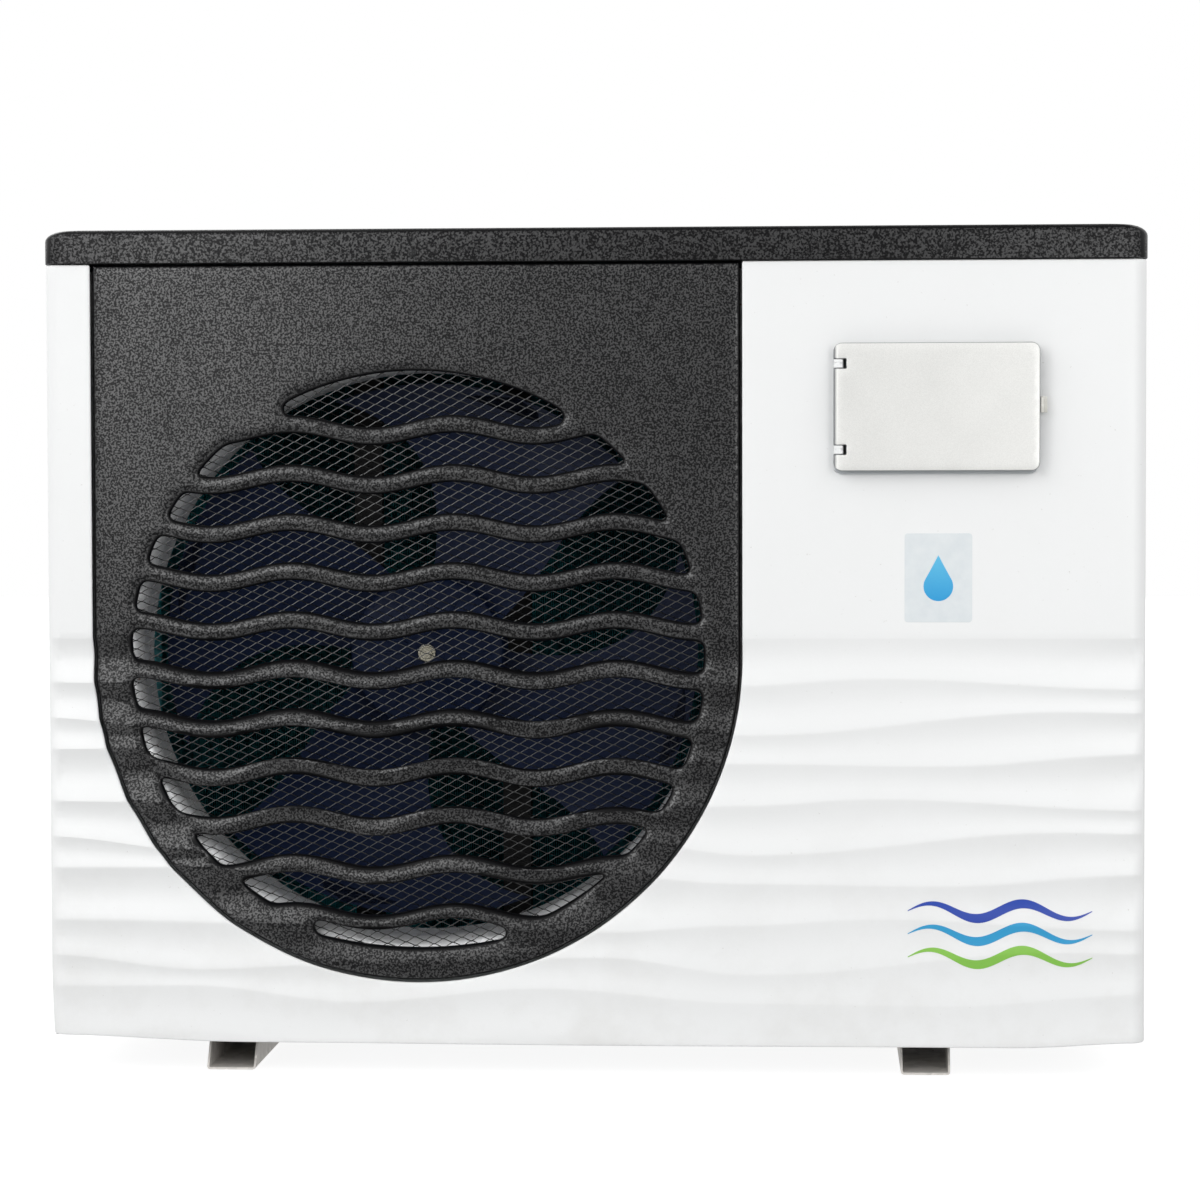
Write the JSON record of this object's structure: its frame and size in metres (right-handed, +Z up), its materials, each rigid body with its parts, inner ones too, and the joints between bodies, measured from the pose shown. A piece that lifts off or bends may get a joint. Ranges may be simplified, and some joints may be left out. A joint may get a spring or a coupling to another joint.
{
  "type": "pool heat pump",
  "caption": "Side-blowing pool heat pump: wavy front grille over a fan, ribbed casing, dark lid, hinged controller door, channel feet and two water unions.",
  "frame": {"origin": "ground level, under the centre of the bounding box", "axes": "+X to the right of someone who faces the grille, +Y from the front to the rear, +Z up"},
  "size_m": [1.05, 0.5046, 0.8084],
  "materials": {
    "white_abs": "fine-grained satin white moulding",
    "dark_abs": "sand-textured dark grey moulding",
    "silver_abs": "silver-grey paint on plastic",
    "control_grey": "smooth grey moulding",
    "clear_plastic": "milky translucent moulding",
    "display_glass": "black display window",
    "key_rubber": "matt keys",
    "black_mesh": "black powder coat on expanded steel",
    "galvanised": "spangled zinc",
    "zinc": "bright zinc plate",
    "steel": "ground steel",
    "fan_plastic": "dark blue-black glass-filled moulding",
    "motor_paint": "black stove enamel",
    "blue_fins": "blue-green hydrophilic fins",
    "black_paint": "black paint",
    "rubber": "black rubber",
    "black_pvc": "smooth black PVC",
    "titanium": "drawn titanium tube",
    "copper": "drawn copper tube",
    "brass": "turned brass",
    "board_green": "green solder mask",
    "aluminium": "extruded aluminium",
    "terminal": "cream phenolic"
  },
  "bodies": {
    "cabinet": {"front_panel": "white_abs", "side_panel_left": "white_abs", "side_panel_right": "white_abs", "rear_guard": "white_abs", "top_lid": "dark_abs", "grille_panel": "dark_abs", "controller_base": "control_grey", "controller_display": "display_glass", "guard_mesh": "black_mesh", "base_pan": "galvanised", "foot_left": "galvanised", "foot_right": "galvanised", "front_bulkhead": "galvanised", "partition_plate": "galvanised", "fan_shroud": "galvanised", "coil_end_plate_left": "galvanised", "coil_end_plate_right": "galvanised", "rear_panel": "galvanised", "electrical_box": "galvanised", "fan_motor": "motor_paint", "motor_bracket": "motor_paint", "reactor": "motor_paint", "evaporator_coil": "blue_fins", "compressor": "black_paint", "accumulator": "black_paint", "lid_screw_left": "black_paint", "lid_screw_right": "black_paint", "capacitor": "black_paint", "compressor_grommet_1": "rubber", "compressor_grommet_2": "rubber", "compressor_grommet_3": "rubber", "drain_spigot": "rubber", "heat_exchanger_shell": "black_pvc", "water_inlet_tail": "black_pvc", "water_outlet_tail": "black_pvc", "cable_gland": "black_pvc", "titanium_coil": "titanium", "discharge_pipe": "copper", "suction_pipe": "copper", "exchanger_gas_pipe": "copper", "coil_gas_pipe": "copper", "liquid_pipe": "copper", "four_way_valve": "brass", "expansion_valve": "brass", "inverter_board": "board_green", "heat_sink": "aluminium", "terminal_block": "terminal"},
    "fan": {"fan_rotor": "fan_plastic", "fan_shaft": "steel", "hub_screw": "zinc"},
    "door": {"controller_door": "silver_abs", "hinge_pin_lower": "steel", "hinge_pin_upper": "steel"},
    "latch": {"latch_tab": "clear_plastic"},
    "key_power": {"button_power": "key_rubber"},
    "key_mode": {"button_mode": "key_rubber"},
    "key_up": {"button_up": "key_rubber"},
    "key_down": {"button_down": "key_rubber"},
    "nut_inlet": {"union_nut_inlet": "black_pvc"},
    "nut_outlet": {"union_nut_outlet": "black_pvc"}
  },
  "joints": [
    {"name": "fan_spin", "type": "hinge", "parent": "cabinet", "child": "fan", "pos_m": [-0.164, -0.1477, 0.4015], "axis": [0, -1, 0], "continuous": true},
    {"name": "door_hinge", "type": "hinge", "parent": "cabinet", "child": "door", "pos_m": [0.2344, -0.2475, 0.63725], "axis": [0, 0, -1], "range_deg": [0, 135]},
    {"name": "latch_flex", "type": "hinge", "parent": "cabinet", "child": "latch", "pos_m": [0.43, -0.2424, 0.639], "axis": [0, 0, 1], "range_deg": [0, 12], "stiffness_Nm_per_rad": 0.05},
    {"name": "power_press", "type": "slide", "parent": "cabinet", "child": "key_power", "axis": [0, 1, 0], "range_m": [0, 0.0008], "stiffness_N_per_m": 400},
    {"name": "mode_press", "type": "slide", "parent": "cabinet", "child": "key_mode", "axis": [0, 1, 0], "range_m": [0, 0.0008], "stiffness_N_per_m": 400},
    {"name": "up_press", "type": "slide", "parent": "cabinet", "child": "key_up", "axis": [0, 1, 0], "range_m": [0, 0.0008], "stiffness_N_per_m": 400},
    {"name": "down_press", "type": "slide", "parent": "cabinet", "child": "key_down", "axis": [0, 1, 0], "range_m": [0, 0.0008], "stiffness_N_per_m": 400},
    {"name": "inlet_nut_turn", "type": "hinge", "parent": "cabinet", "child": "nut_inlet", "pos_m": [0.255, 0.2243, 0.13], "axis": [0, 1, 0], "continuous": true},
    {"name": "outlet_nut_turn", "type": "hinge", "parent": "cabinet", "child": "nut_outlet", "pos_m": [0.255, 0.2243, 0.43], "axis": [0, 1, 0], "continuous": true}
  ]
}
